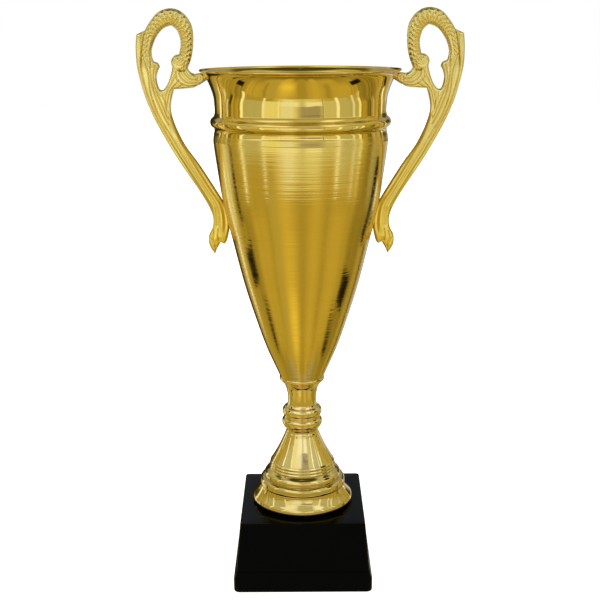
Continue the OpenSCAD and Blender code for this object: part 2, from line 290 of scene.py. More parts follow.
def gloss_black():
    """Polished black moulding."""
    made, nodes, shader = material("black_gloss", (0.0015,) * 3, 0.0, 0.1, Specular_IOR_Level=0.05)
    cloud = nodes.noise(nodes.object_point(), 60, 3)
    nodes.link(nodes.map(cloud, 0.3, 0.7, 0.07, 0.14), shader.inputs["Roughness"])
    colour = nodes.mix(cloud, (0.001, 0.001, 0.0012), (0.002, 0.002, 0.0022))
    nodes.link(colour, shader.inputs["Base Color"])
    bumped(nodes, shader, nodes.noise(nodes.object_point(), 220, 2), 0.03, 0.0004)
    return made


# ---------------------------------------------------------------- meshes


def piece(name, vertices, faces, finishes, node, face_finish=None):
    """Makes a mesh piece from points in mm that rides on the root body and stands for a CAD node."""
    mesh = bpy.data.meshes.new(name)
    mesh.from_pydata([tuple(v) for v in np.asarray(vertices) * MM], [], faces)
    for finish in finishes:
        mesh.materials.append(finish)
    if face_finish is not None:
        mesh.polygons.foreach_set("material_index", face_finish)
    mesh.polygons.foreach_set("use_smooth", [True] * len(faces))
    mesh.update()
    made = bpy.data.objects.new(name, mesh)
    bpy.context.scene.collection.objects.link(made)
    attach(made, "root")
    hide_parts(node)


def revolve(outline, turns, finish_of=None):
    """A closed outline of [radius, height] turned round Z: its points, faces and each face's finish."""
    vertices, faces, finish = [], [], []
    angles = np.linspace(0, 2 * math.pi, turns, endpoint=False)
    for radius, height in outline:
        vertices.extend((radius * math.cos(a), radius * math.sin(a), height) for a in angles)
    for i in range(len(outline)):
        a, b = i * turns, (i + 1) % len(outline) * turns
        for k in range(turns):
            m = (k + 1) % turns
            faces.append([a + k, a + m, b + m, b + k])
            finish.append(finish_of(i) if finish_of else 0)
    return vertices, faces, finish


# ---------------------------------------------------------------- bowl

SHOULDER = [
    [15, 168.3], [17.5, 170], [18.5, 173], [21.5, 180], [30, 200], [38.5, 225], [47.5, 255], [56, 290],
    [63, 320], [67.5, 350], [70, 370], [70, 374], [69.5, 378],
]
WAIST = [[68.5, 394.5], [68.5, 398], [69, 406], [71, 413], [73.5, 419], [76.5, 424], [79.2, 426.2]]
RIM_ROLL = [79.2, 427.2]
RIM_ROLL_R = 0.79
ROD_HOLE_R = 3.3
BOWL_Z = 168.3
TURNED_TOP = 378
BOWL_TURNS, STEM_TURNS = 256, 160


def bowl_wall():
    """The outer line of the bowl, from its seat to its rim."""
    ring = arc(RING, RING_R, -66, 66, 20)
    below, above = [[69, 380], [69, 381.5]], [[69, 392.5]]
    return np.concatenate([curve(SHOULDER, 8), below, ring, above, curve(WAIST, 10)])


def wall_radius(height):
    """Outer radius of the bowl at some height."""
    wall = bowl_wall()
    return np.interp(height, wall[:, 1], wall[:, 0])


def make_bowl(mirror, turned, inside):
    """The spun sheet. The inner wall stops three points short of the rim, where the roll begins."""
    outer = bowl_wall()
    inner = beside(outer, SHEET)[:-3]
    roll = arc(RIM_ROLL, RIM_ROLL_R, -90, 180, 16)
    seat, bottom = [[ROD_HOLE_R, BOWL_Z]], [[ROD_HOLE_R, BOWL_Z + SHEET]]
    outline = np.concatenate([seat, outer, roll, inner[::-1], bottom])
    first_inner = len(seat) + len(outer) + len(roll) - 2

    def finish_of(i):
        if i >= first_inner:
            return 2
        return 1 if outline[i][1] < TURNED_TOP else 0

    vertices, faces, finish = revolve(outline, BOWL_TURNS, finish_of)
    piece("bowl_spun", vertices, faces, [mirror, turned, inside], "bowl", finish)


# ---------------------------------------------------------------- stem and foot

CUP_SIDE = [
    [13.6, 146.4], [12.6, 148], [12.05, 150.8], [12, 153.5], [12.3, 157], [13, 160.4], [13.8, 163.6],
    [15.4, 166.6], [17.6, 169], [18.9, 170.4], [19.1, 171.6],
]
KNOT_UPPER_SIDE = [
    [15.2, 136.2], [15.6, 137], [15.7, 138.4], [16, 139.4], [16.6, 140.6], [16.8, 142.2], [16.5, 143.8],
    [15.6, 145.2], [14.6, 146], [13.6, 146.4],
]
KNOT_LOWER_SIDE = [
    [14.4, 122.6], [13.8, 123.8], [13.6, 125.2], [14.6, 127], [16, 128.8], [16.9, 130.8], [17.2, 132.8],
    [16.9, 134.4], [16, 135.6], [15.2, 136.2],
]
# The foot from the bottom up: its disc, the two mouldings, the fine rings and the cone
FOOT_SIDES = [
    [[39.4, 60.6], [41.5, 61], [42.8, 62.5], [43.2, 64.2], [42.3, 66.5], [40.3, 69], [38.3, 71.7],
     [37, 74.2], [36.4, 76]],
    [[36.4, 76], [36.8, 77.2], [36.7, 79], [36.2, 80.8], [34.6, 82.6], [32.4, 83.4]],
    [[32.4, 83.4], [33, 84.8], [32.6, 86.6], [31.2, 88.4], [29.4, 89.8], [28.4, 90.6]],
    [[28.4, 90.6], [28.8, 91.8], [28, 93], [28.2, 94.2], [27.4, 95.4], [27.6, 96.6], [26.6, 98]],
    [[26.6, 98], [24.8, 101], [22.8, 104.5], [20.4, 109], [18.2, 113.5], [16.2, 118], [15, 120.8],
     [14.4, 122.6]],
]
# The hollow of the foot from the top down, with the rod's bore above it
FOOT_ROOM = [
    [ROD_HOLE_R, 122.6], [ROD_HOLE_R, 116], [13, 116], [16, 108], [24, 92], [30, 82.5], [34, 78.5],
    [34, 68.4], [36.6, 64], [36.6, 60.6],
]
CUP_LIP = [
    [19, 172.5], [18.6, 173], [18.2, 172.9], [17.9, 171.6], [17.1, 169.7], [15.3, 168.4], [15.2, 167.5],
]


def bored(side):
    """A side line closed by the rod's bore."""
    return np.concatenate([side, [[ROD_HOLE_R, side[-1][1]], [ROD_HOLE_R, side[0][1]]]])


def make_stem(finish):
    """The turned pieces between the bowl and the base."""
    outlines = {
        "stem_cup": bored(np.concatenate([curve(CUP_SIDE, 6), CUP_LIP])),
        "knot_upper": bored(curve(KNOT_UPPER_SIDE, 6)),
        "knot_lower": bored(curve(KNOT_LOWER_SIDE, 6)),
        "foot": np.concatenate([curve(side, 6) for side in FOOT_SIDES] + [FOOT_ROOM]),
    }
    for node, outline in outlines.items():
        vertices, faces, _ = revolve(outline, STEM_TURNS)
        piece(node + "_turned", vertices, faces, [finish], node)


# ---------------------------------------------------------------- base


def rounded_square(half, radius, per_corner=10):
    """Points round a square with round corners, from the +X side on."""
    points = []
    for k, (sx, sy) in enumerate(((1, 1), (-1, 1), (-1, -1), (1, -1))):
        centre = [sx * (half - radius), sy * (half - radius)]
        points.append(arc(centre, radius, 90 * k, 90 * (k + 1), per_corner))
    return np.concatenate(points)


# Rows of the base, each its half width, corner radius and height
PLINTH_ROWS = [
    (57.3, 4.2, 0.6), (57.9, 4.8, 0.9), (58.15, 5, 1.6), (58.2, 5, 4), (58.2, 5, 9), (58.18, 5, 11.6),
    (58.1, 5, 12.1), (57.9, 4.9, 12.6), (57.5, 4.8, 13.1), (57.15, 4.7, 13.7),
]
SHOULDER_ROWS = [(56.9, 4.6, 15), (56.7, 4.5, 16.6), (56.4, 4.3, 17.7), (56, 4.1, 18)]
GROOVE_ROWS = [(55.6, 3.9, 18.15), (55.6, 3.9, 18.6), (55.85, 4, 18.9)]
FACE_ROWS = [(56 - 3.8 * t, 4 - t, 18.5 + 41 * t) for t in (0.03, 0.08, 0.25, 0.5, 0.75, 0.95, 0.98)]
TOP_ROWS = [(52.18, 2.95, 59.2), (51.95, 2.8, 59.7), (51.5, 2.5, 59.93), (50.8, 2.3, 60), (40, 2.2, 60)]
INNER_ROWS = [(49.2, 3, 56), (50.2, 3, 45), (53.6, 3, 12), (55.2, 3, 3.5), (55.2, 3, 0.6)]
BASE_TOP, ROOF_UNDERSIDE = 60, 56


def make_base(finish):
    """The black block: up its outside, in over its top to the rod's hole, and down its inside."""
    rows = PLINTH_ROWS + SHOULDER_ROWS + GROOVE_ROWS + FACE_ROWS + TOP_ROWS
    rings = [(rounded_square(half, radius), z) for half, radius, z in rows]
    count = len(rings[0][0])
    start = rings[0][0]
    turn = np.arctan2(start[:, 1], start[:, 0])
    hole = np.stack([ROD_HOLE_R * np.cos(turn), ROD_HOLE_R * np.sin(turn)], 1)
    rings += [(hole, BASE_TOP), (hole, ROOF_UNDERSIDE)]
    rings += [(rounded_square(half, radius), z) for half, radius, z in INNER_ROWS]
    vertices = np.concatenate([np.column_stack([points, np.full(count, z)]) for points, z in rings])
    faces = []
    for i in range(len(rings)):
        a, b = i * count, (i + 1) % len(rings) * count
        faces += [[a + k, a + (k + 1) % count, b + (k + 1) % count, b + k] for k in range(count)]
    piece("base_moulding", vertices, faces, [finish], "base_shell")


# ---------------------------------------------------------------- handles

# The edges of the right handle as [distance from the axis, height], in turn round the casting
OUTER_EDGE = [
    [128.5, 455], [129.5, 442], [128, 424], [119, 394], [101, 360], [81, 329], [73, 313], [72.5, 302],
    [76, 294], [75.5, 286], [71, 279],
]
FOOT_EDGE = [[71, 279], [69.5, 283], [66, 289]]
HEEL_EDGE = [
    [66, 289], [63, 287.5], [60.5, 292], [58.5, 304], [60, 314], [64, 323.5], [81.5, 352], [93, 368.5],
    [101, 386], [103.5, 399], [100.5, 412.5],
]
ARM_LOW_EDGE = [[100.5, 412.5], [92, 413], [84, 414], [78.5, 417.5], [73.5, 421], [73.5, 424]]
ARM_TOP_EDGE = [[73.5, 424], [79.5, 425], [84, 424.5], [87.5, 426.5], [89.5, 430], [89.5, 434]]
EYE_EDGE = [
    [101, 437], [101.5, 428], [104.5, 418.5], [108, 413], [111, 412], [113, 415], [114, 421.5],
    [112.5, 427], [111, 429.5],
]
LEAF_EDGE = [[111, 429.5], [112.5, 433], [116, 434.5], [117, 438]]
WING_NOTCH = [118, 459.5]
HEAD, HEAD_R = [96, 433.5], 6
EYE, EYE_R = [95, 436], 2.2
SCROLL, SCROLL_R = [80, 421.5], 3.5
# Centre lines of the loop and of the limb, as [distance from the axis, height, half width]
LOOP_LINE = [
    [121, 421, 4], [121.5, 436, 4], [120.5, 445, 4], [118, 454, 5], [113, 461.5, 5.5], [107, 466.5, 6.5],
    [100, 468, 6.5], [94.5, 465, 6.5], [90.5, 459, 6], [89, 449, 5], [90.5, 439, 5], [93.5, 431, 5],
]
LIMB_LINE = [
    [107, 403, 7], [104.5, 388, 6], [97.5, 371, 5], [86, 351, 4.5], [74, 331, 4.5], [67, 319, 5.5],
    [65.5, 305, 6.5], [67.5, 290, 7],
]
# Carved lines as [points, width, depth]
CARVING = [
    # petals of the wing, from the outside in
    ([[124, 458], [124.5, 450], [125, 441], [125.5, 430], [123.5, 417], [117.5, 397.5], [104.5, 372]],
     0.9, 1.3),
    ([[125, 441], [122, 433], [119.5, 424], [118.5, 410], [113.5, 393], [107, 381]], 0.8, 1.2),
    ([[117.5, 437], [118, 426], [115.5, 410], [110, 395], [105, 385]], 0.8, 1.2),
    ([[114.5, 431], [115.5, 422], [114, 412], [108.5, 398], [105.5, 390]], 0.8, 1.1),
    ([[112.5, 423], [111.5, 414], [107, 402], [104.5, 393]], 0.7, 1),
    ([[117, 404], [111.5, 390], [102, 374]], 0.7, 0.9),
    # the fork, where the arm flows into the limb
    ([[99, 424], [104.5, 413], [107, 403], [105, 390]], 0.8, 1.1),
    ([[96, 419.5], [103, 410.5], [105, 400], [103.5, 391]], 0.8, 1),
    ([[93, 416.5], [100.5, 409.5], [102.8, 399]], 0.7, 0.9),
    # waves from the head along the arm to the scroll
    ([[91, 431], [91.5, 426], [88, 421.5], [81, 420]], 0.8, 1.1),
    ([[95, 428], [94.5, 422.5], [89, 417.5], [80.5, 418]], 0.8, 1.1),
    ([[98, 426.5], [97, 420], [90, 414.8], [82, 415.6]], 0.8, 1.1),
    ([[93, 429.5], [93, 424.5], [88.5, 419.5], [81, 419]], 0.5, 0.6),
    ([[88.5, 430.5], [87.5, 426], [82, 422.5]], 0.7, 0.9),
    # lobes of the foot
    ([[71.5, 298], [72.5, 292], [70.5, 285]], 0.9, 1.2),
    ([[68, 300], [68.5, 295], [67.5, 290.5]], 0.8, 1.1),
    ([[75.5, 293], [73.5, 291.5], [72.5, 288.5]], 0.8, 1),
    ([[73.5, 304], [73, 300], [75, 296]], 0.7, 0.8),
]
# Raised lines as [points, width, height]
RIBS = [
    ([[111.5, 430], [114, 433.5], [118, 436.5]], 1.4, 0.9),
    ([[112.5, 430.5], [113.5, 427], [112.5, 423]], 1.2, 0.6),
    ([[127.5, 452], [128, 441], [123, 408], [114.5, 388]], 1.3, 0.4),
]
# The relief. Half thicknesses, lifts, depths, pitches and radii are in mm. The rows and size of the
# scales and the count of flutes are to the half width, and the beads' start and turn are in degrees.
SLAB_HALF, SLAB_SWELL = 4.3, 0.9
NECK_HALF, NECK_SUNK, NECK_LEAST = 5.3, 0.9, 2.2
HEAD_HALF, HEAD_DOME, HEAD_OVER = 3.9, 1.75, 0.2
VOLUTE_HALF, VOLUTE_LIFT, VOLUTE_PITCH = 4.9, 0.55, 1.9
THINNEST, THICKEST = 1.6, 6.1
EDGE_ROUND = 2.2
SCALE_PITCH, SCALE_LIFT, SCALE_SIZE = 3.9, 1.5, 0.33
SCALE_ROWS = (0.16, 0.66)
TOOTH_PITCH, TOOTH_LIFT = 2.8, 1.4
EYE_RING_WIDTH, EYE_RING_LIFT, EYE_SUNK = 0.55, 0.75, 0.5
BEAD_COUNT, BEAD_R, BEAD_RING_R, BEAD_LIFT = 7, 0.95, 4.1, 0.75
BEAD_START, BEAD_TURN = 196, 25
FLUTES, FLUTE_LIFT = 1.1, 0.5
COMB_PITCH, COMB_DEPTH = 1.5, 0.45
# The mesh, in mm: how far apart its points are, how far its rings of points and its grid lie inside
# the edge, and how far it stays off the bowl's wall. FAR is further than any point.
STEP = 0.42
EDGE_RINGS = (0.14, 0.4, 0.8, 1.25, 1.75)
GRID_INSET = 2.05
FAR = 1e9
WALL_GAP = 0.03


def ribbon(line, n=6):
    """The outline of a ribbon along points [x, z, half width], with round ends."""
    p = curve(line, n)
    d = np.gradient(p[:, :2], axis=0)
    d /= np.linalg.norm(d, axis=1)[:, None]
    side = np.stack([-d[:, 1], d[:, 0]], 1) * p[:, 2:3]
    left, right = p[:, :2] + side, p[:, :2] - side
    end = math.degrees(math.atan2(d[-1][1], d[-1][0]))
    start = math.degrees(math.atan2(d[0][1], d[0][0]))
    cap_end = arc(p[-1][:2], p[-1][2], end + 90, end - 90, 10)[1:-1]
    cap_start = arc(p[0][:2], p[0][2], start - 90, start - 270, 10)[1:-1]
    return np.concatenate([left, cap_end, right[::-1], cap_start])


def outline_loops(shapes):
    """The outer lines of overlapping flat shapes, as closed loops of points."""
    points, faces = [], []
    for shape in shapes:
        x, z = shape.T
        if np.sum(x * np.roll(z, -1) - np.roll(x, -1) * z) < 0:
            shape = shape[::-1]
        faces.append(list(range(len(points), len(points) + len(shape))))
        points += [Vector(p) for p in shape]
    flat, _, triangles, _, _, shape_of = delaunay_2d_cdt(points, [], faces, 0, 1e-4)
    covered = [t for t, shapes_there in zip(triangles, shape_of) if shapes_there]
    sides = dict.fromkeys((a, b) for t in covered for a, b in zip(t, t[1:] + t[:1]))
    after = {a: b for a, b in sides if (b, a) not in sides}
    loops = []
    while after:
        start, here = next(iter(after.items()))
        loop = [start]
        del after[start]
        while here != start:
            loop.append(here)
            here = after.pop(here)
        loops.append(np.array([flat[i][:] for i in loop]))
    return [loop for loop in loops if len(loop) > 20]


def even_loop(loop, step):
    """The closed loop again, with its points an even step apart and its corners a little eased."""
    closed = np.concatenate([loop, loop[:1]])
    length = np.concatenate([[0], np.cumsum(np.linalg.norm(np.diff(closed, axis=0), axis=1))])
    count = max(8, round(length[-1] / step))
    places = np.linspace(0, length[-1], count, endpoint=False)
    even = np.stack([np.interp(places, length, closed[:, i]) for i in (0, 1)], 1)
    for _ in range(2):
        even = (np.roll(even, 1, 0) + 2 * even + np.roll(even, -1, 0)) / 4
    return even


def near_line(points, line):
    """For each point: how far off the line is, the length along the line to there, the distance again
    but below zero on the line's right, and the line's half width there. Then the line's length."""
    a, b = line[:-1, :2], line[1:, :2]
    d = b - a
    size = np.linalg.norm(d, axis=1)
    length = np.concatenate([[0], np.cumsum(size)])
    best = np.full(len(points), FAR)
    along, side, width = np.zeros((3, len(points)))
    for i in range(len(d)):
        t = np.clip(((points - a[i]) @ d[i]) / size[i] ** 2, 0, 1)
        gap = points - (a[i] + t[:, None] * d[i])
        far = np.linalg.norm(gap, axis=1)
        closer = far < best
        best = np.where(closer, far, best)
        along = np.where(closer, length[i] + t * size[i], along)
        turn = d[i][0] * gap[:, 1] - d[i][1] * gap[:, 0]
        side = np.where(closer, np.sign(turn) * far, side)
        if line.shape[1] > 2:
            width = np.where(closer, line[i, 2] + t * (line[i + 1, 2] - line[i, 2]), width)
    return best, along, side, width, length[-1]


def inside_loops(points, loops):
    """True for the points within the outline, by counting crossings."""
    odd = np.zeros(len(points), bool)
    for loop in loops:
        for (x0, y0), (x1, y1) in zip(loop, np.roll(loop, -1, 0)):
            if y0 == y1:
                continue
            spans = (points[:, 1] >= min(y0, y1)) & (points[:, 1] < max(y0, y1))
            x = x0 + (points[:, 1] - y0) / (y1 - y0) * (x1 - x0)
            odd ^= spans & (points[:, 0] < x)
    return odd


def edge_distance(points, loops):
    """How far each point is from the outline."""
    far = np.full(len(points), FAR)
    for loop in loops:
        far = np.minimum(far, near_line(points, np.concatenate([loop, loop[:1]]))[0])
    return far


def smooth_step(x, low, high):
    """Runs smoothly from 0 at low to 1 at high."""
    t = np.clip((x - low) / (high - low), 0, 1)
    return t * t * (3 - 2 * t)


def stripes(length, pitch):
    """Even waves from 0 up to 1, one to each pitch."""
    return 0.5 - 0.5 * np.cos(2 * math.pi * length / pitch)


def dome(distance, radius):
    """A round dome from 1 at its middle down to 0 at its radius."""
    return np.sqrt(np.clip(1 - (distance / radius) ** 2, 0, 1))


def neck_relief(points, height):
    """A round section with rows of scales on its outside and teeth on its inside."""
    best, along, side, width, total = near_line(points, curve(LOOP_LINE, 8))
    outward = np.clip(-side / np.maximum(width, 0.1), -1, 1)
    on_neck = best < width * 1.02
    neck = NECK_HALF * np.clip(1 - np.abs(outward) ** 2.6, 0.02, 1) ** 0.42
    share = along / total
    scales = np.zeros(len(points))
    for row, centre in enumerate(SCALE_ROWS):
        phase = along / SCALE_PITCH + 0.5 * row + 0.3 * (outward - centre)
        a = (phase - np.floor(phase) - 0.5) / 0.5
        b = (outward - centre) / SCALE_SIZE
        scale = np.clip(1 - a * a - b * b, 0, 1) ** 0.6
        scales = np.maximum(scales, scale * smooth_step(share, 0.13, 0.2))
    teeth = stripes(along, TOOTH_PITCH) * smooth_step(-outward, 0.02, 0.2)
    teeth *= smooth_step(share, 0.3, 0.38)
    neck = np.maximum(neck - NECK_SUNK + SCALE_LIFT * scales + TOOTH_LIFT * teeth, NECK_LEAST)
    return height + np.where(on_neck, smooth_step(along, 8, 18) * (neck - height), 0)


def head_relief(points, height):
    """A dome with a ringed eye, and beads round the eye's lower side."""
    centre = np.linalg.norm(points - HEAD, axis=1)
    head = HEAD_HALF + HEAD_DOME * dome(centre, HEAD_R + HEAD_OVER)
    height = np.where(centre < HEAD_R, np.maximum(head, height - 0.6), height)
    eye = np.linalg.norm(points - EYE, axis=1)
    ring = np.exp(-(((eye - EYE_R) / EYE_RING_WIDTH) ** 2))
    height += EYE_RING_LIFT * ring * (centre < HEAD_R + 1)
    height -= EYE_SUNK * (eye < EYE_R - 0.6)
    for k in range(BEAD_COUNT):
        a = math.radians(BEAD_START + BEAD_TURN * k)
        middle = np.array(EYE) + BEAD_RING_R * np.array([math.cos(a), math.sin(a)])
        height += BEAD_LIFT * dome(np.linalg.norm(points - middle, axis=1), BEAD_R)
    return height


def volute_relief(points, height):
    """The spiral at the end of the arm."""
    turn = points - SCROLL
    out = np.linalg.norm(turn, axis=1)
    angle = np.arctan2(turn[:, 1], turn[:, 0])
    spiral = np.cos(2 * math.pi * (out / VOLUTE_PITCH) - angle)
    volute = VOLUTE_HALF + VOLUTE_LIFT * spiral * smooth_step(out, 0.2, 0.9)
    return np.where(out < SCROLL_R, volute, height)


def limb_relief(points, height, edge):
    """Long flutes down the limb, and a comb of short cuts near its lower end."""
    _, along, side, width, total = near_line(points, curve(LIMB_LINE, 8))
    across = side / np.maximum(width, 0.1)
    left = total - along
    fluted = smooth_step(along, 18, 34) * (1 - smooth_step(-left, -14, -5))
    fluted *= smooth_step(edge, 0.3, 1.6)
    height = height + fluted * FLUTE_LIFT * np.cos(2 * math.pi * FLUTES * (across + 0.1))
    comb = smooth_step(across, 0.18, 0.3) * (1 - smooth_step(across, 0.62, 0.74))
    comb *= smooth_step(-left, -30, -28) * (1 - smooth_step(-left, -14, -12))
    return height - COMB_DEPTH * comb * (1 - stripes(along, COMB_PITCH))


def relief(points, edge):
    """Half thickness of the casting at each point, which lies so far inside the edge."""
    height = SLAB_HALF + SLAB_SWELL * smooth_step(edge, 1.0, 5.5)
    height = neck_relief(points, height)
    height = head_relief(points, height)
    height = volute_relief(points, height)
    height = limb_relief(points, height, edge)
    for line, size, depth in CARVING:
        height -= depth * np.clip(1 - near_line(points, curve(line, 6))[0] / size, 0, 1) ** 1.2
    for line, size, lift in RIBS:
        height += lift * np.clip(1 - (near_line(points, curve(line, 6))[0] / size) ** 2, 0, 1)
    height = np.clip(height, THINNEST, THICKEST)
    return height * np.clip(1 - np.clip(1 - edge / EDGE_ROUND, 0, 1) ** 2.3, 0, 1) ** 0.46


def edge_rings(loops):
    """Rings of points beside the loops, as far as they lie inside the outline."""
    rings = []
    for gap in EDGE_RINGS:
        for loop in loops:
            d = np.roll(loop, -1, 0) - np.roll(loop, 1, 0)
            d /= np.linalg.norm(d, axis=1)[:, None]
            normal = np.stack([-d[:, 1], d[:, 0]], 1)
            for way in (1, -1):
                ring = loop + way * gap * normal
                good = inside_loops(ring, loops) & (edge_distance(ring, loops) > gap * 0.97)
                rings.append(ring[good])
    return rings


def inner_grid(loops):
    """Staggered rows of points that fill the outline within its rings."""
    line = np.concatenate(loops)
    low, high = line.min(0), line.max(0)
    columns = np.arange(low[0], high[0], STEP)
    rows = np.arange(low[1], high[1], STEP * 0.87)
    grid = np.array([(x + (j % 2) * STEP / 2, z) for j, z in enumerate(rows) for x in columns])
    grid = grid[inside_loops(grid, loops)]
    return grid[edge_distance(grid, loops) > GRID_INSET]


def handle_plan():
    """The handle's flat plan: points, triangles, which points are on the edge, and the outline."""
    edges = (OUTER_EDGE, FOOT_EDGE, HEEL_EDGE, ARM_LOW_EDGE, ARM_TOP_EDGE)
    edges += ([HEAD], EYE_EDGE, LEAF_EDGE)
    body = np.concatenate([curve(edge, 5) for edge in edges] + [[WING_NOTCH]])
    keep = [0] + [i for i in range(1, len(body)) if np.linalg.norm(body[i] - body[i - 1]) > 1e-3]
    head = arc(HEAD, HEAD_R, 0, 360, 48)[:-1]
    loops = [even_loop(loop, STEP) for loop in outline_loops([body[keep], ribbon(LOOP_LINE), head])]
    sides, edge_count = [], 0
    for loop in loops:
        n = len(loop)
        sides += [(edge_count + i, edge_count + (i + 1) % n) for i in range(n)]
        edge_count += n
    flat = np.concatenate(loops + edge_rings(loops) + [inner_grid(loops)])
    found, _, triangles, origin, _, _ = delaunay_2d_cdt([Vector(p) for p in flat], sides, [], 0, 1e-5)
    found = np.array([p[:] for p in found])
    triangles = np.array([t for t in triangles if len(t) == 3])
    triangles = triangles[inside_loops(found[triangles].mean(1), loops)]
    rim = np.array([any(i < edge_count for i in where) for where in origin])
    return found, triangles, rim, loops


def make_handles(finish):
    """The two castings. The back mirrors the front and shares its edge. The bowl's wall stops both."""
    flat, triangles, rim, loops = handle_plan()
    edge = np.where(rim, 0, edge_distance(flat, loops))
    half = relief(flat, edge)
    count = len(flat)
    back = np.where(rim, np.arange(count), count + np.cumsum(~rim) - 1)
    for side, name in ((-1, "handle_left"), (1, "handle_right")):
        front = np.column_stack([side * flat[:, 0], np.where(rim, 0, -half), flat[:, 1]])
        behind = front[~rim] * [1, -1, 1]
        vertices = np.concatenate([front, behind])
        wall = wall_radius(vertices[:, 2]) + WALL_GAP
        out = np.sqrt(np.clip(wall**2 - vertices[:, 1] ** 2, 0, None))
        vertices[:, 0] = side * np.maximum(side * vertices[:, 0], out)
        ahead = triangles if side > 0 else triangles[:, ::-1]
        faces = ahead.tolist() + back[ahead[:, ::-1]].tolist()
        piece(name + "_cast", vertices, faces, [finish], name)


# ---------------------------------------------------------------- CAD nodes that stay


def dress(finishes):
    """Gives each CAD node that is still shown its procedural finish."""
    for finish, names in finishes:
        for name in names:
            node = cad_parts[name]
            node.data.materials.clear()
            node.data.materials.append(finish)


# ---------------------------------------------------------------- studio

LIGHT = 1.25
DAYLIGHT = (0.94, 0.97, 1.04)
WHITE = (0.95, 1.0, 0.95)
CREAM = (1.0, 1.0, 0.62)
STRAW = (1.0, 0.86, 0.26)
AMBER = (1.0, 0.8, 0.17)
# What stands round the cup, each a soft-edged patch of light or dark: its name, where its middle is
# as [azimuth, pitch] in degrees, its half width and half height, how soft its edges are, its colour
# and its strength. Azimuth 0 is towards -Y, the cup's front, and 90 towards +X. A later patch covers
# those before it.
STUDIO = [
    ("lit table in front", [0, -45], [60, 19], 5, AMBER, 0.5),
    ("left arch of the table cloth", [-70, -37], [13, 11], 5, AMBER, 0.52),
    ("right arch of the table cloth", [65, -37], [12, 11], 5, AMBER, 0.54),
    ("left gap in the table cloth", [-53, -38], [2, 16], 2, AMBER, 0.36),
    ("right gap in the table cloth", [41, -38], [4, 16], 3, AMBER, 0.38),
    ("left fold of the table cloth", [-42, -42], [6, 24], 3, STRAW, 0.47),
    ("lit fold of the table cloth", [-24, -46], [9, 26], 6, AMBER, 0.62),
    ("bright spot on the table", [-20, -50], [10, 7], 6, AMBER, 0.86),
    ("shade on the table", [2, -44], [7, 26], 3, AMBER, 0.4),
    ("right fold of the table cloth", [23, -44], [6, 26], 3, AMBER, 0.56),
    ("left back reflector", [-132, -8], [3, 22], 2, WHITE, 1.1),
    ("left side card", [-122, -14], [4, 9], 2, CREAM, 0.8),
    ("left side lamp", [-113, -4], [2, 12], 1, WHITE, 0.75),
    ("shade by the left lamp", [-107, -8], [3, 16], 1, AMBER, 0.2),
    ("left side panel", [-97, -4], [4, 20], 2, AMBER, 0.42),
    ("right side panel", [92, -6], [4, 20], 2, AMBER, 0.46),
    ("shade by the right lamp", [103, -8], [4, 16], 1, AMBER, 0.18),
    ("right side lamp", [112, -6], [1.5, 14], 1, WHITE, 0.6),
    ("right side card", [122, -8], [4, 14], 2, CREAM, 0.34),
    ("dim corner on the left", [-97, -40], [9, 18], 5, AMBER, 0.32),
    ("dim corner on the right", [104, -36], [15, 18], 5, AMBER, 0.28),
    ("right back reflector", [137, -8], [2, 22], 1, WHITE, 1.2),
    ("white sweep behind", [180, -17], [28, 13], 3, (0.9, 0.95, 1.1), 0.8),
    ("dark shelf behind", [180, 6], [44, 9], 3, AMBER, 0.07),
    ("grey curtain behind", [163, -8], [6, 26], 4, (0.9, 0.85, 0.9), 0.3),
    ("dark stand on the left", [-160, -8], [12, 26], 3, AMBER, 0.03),
    ("dark case on the left", [-95, -41], [6, 3.5], 1, AMBER, 0.01),
    ("post on the left", [-106, -17], [2, 8], 1, AMBER, 0.05),
    ("dark case on the right", [88, -45], [9, 3.5], 1, AMBER, 0.01),
    ("far post on the right", [138, -27], [3, 10], 1, AMBER, 0.03),
    ("left overhead softbox", [-42, 44], [26, 14], 7, WHITE, 1.0),
    ("right overhead softbox", [48, 42], [14, 14], 6, WHITE, 1.1),
    ("dark room behind", [180, 56], [70, 14], 4, AMBER, 0.12),
    ("dim room behind", [180, 30], [45, 13], 5, (0.9, 0.95, 1.05), 0.34),
    ("dark ceiling", [0, 79], [180, 14], 4, AMBER, 0.07),
]
# The front wall of the studio is a curved card close to the cup: its radius, foot and top in mm, its
# half width in degrees, and its own patches in the same form, but with [azimuth, height in mm].
CARD_R = 400
CARD_LOW, CARD_TOP = 195, 460
CARD_HALF = 80
CARD = [
    ("left panel", [-62, 330], [16, 200], 1, CREAM, 0.5),
    ("left middle panel", [-37, 330], [10, 200], 1, CREAM, 0.82),
    ("centre panel", [1, 330], [26, 200], 1, CREAM, 0.72),
    ("left part of the centre panel", [-16, 330], [8, 200], 2, WHITE, 0.85),
    ("low softbox", [1, 300], [25, 36], 3, WHITE, 0.95),
    ("fold in the middle", [2, 330], [4, 200], 3, CREAM, 0.62),
    ("grey backdrop", [12, 390], [14, 52], 4, (0.85, 0.8, 0.7), 0.45),
    ("shade on the backdrop", [14, 372], [11, 6], 4, (0.8, 0.75, 0.7), 0.3),
    ("right middle panel", [37, 330], [9, 200], 1, CREAM, 0.6),
    ("right panel", [61, 330], [15, 200], 1, CREAM, 0.48),
    ("dark foot of the left panels", [-54, 215], [26, 40], 9, AMBER, 0.45),
    ("dark foot of the right panels", [54, 210], [26, 36], 9, AMBER, 0.5),
    ("gap beside the right panel", [55, 300], [6, 90], 3, CREAM, 0.52),
    ("trim along the top", [0, 452], [80, 8], 2, WHITE, 1.0),
    ("left edge light", [-77, 330], [1.5, 200], 1, WHITE, 1.2),
    ("left inner edge light", [-46, 330], [1.5, 200], 1, WHITE, 1.0),
    ("right inner edge light", [46, 330], [2, 200], 1, WHITE, 1.1),
    ("right edge light", [68, 330], [1.5, 200], 1, WHITE, 0.9),
    ("seam right of the middle", [27, 330], [0.6, 200], 0.6, CREAM, 0.3),
]


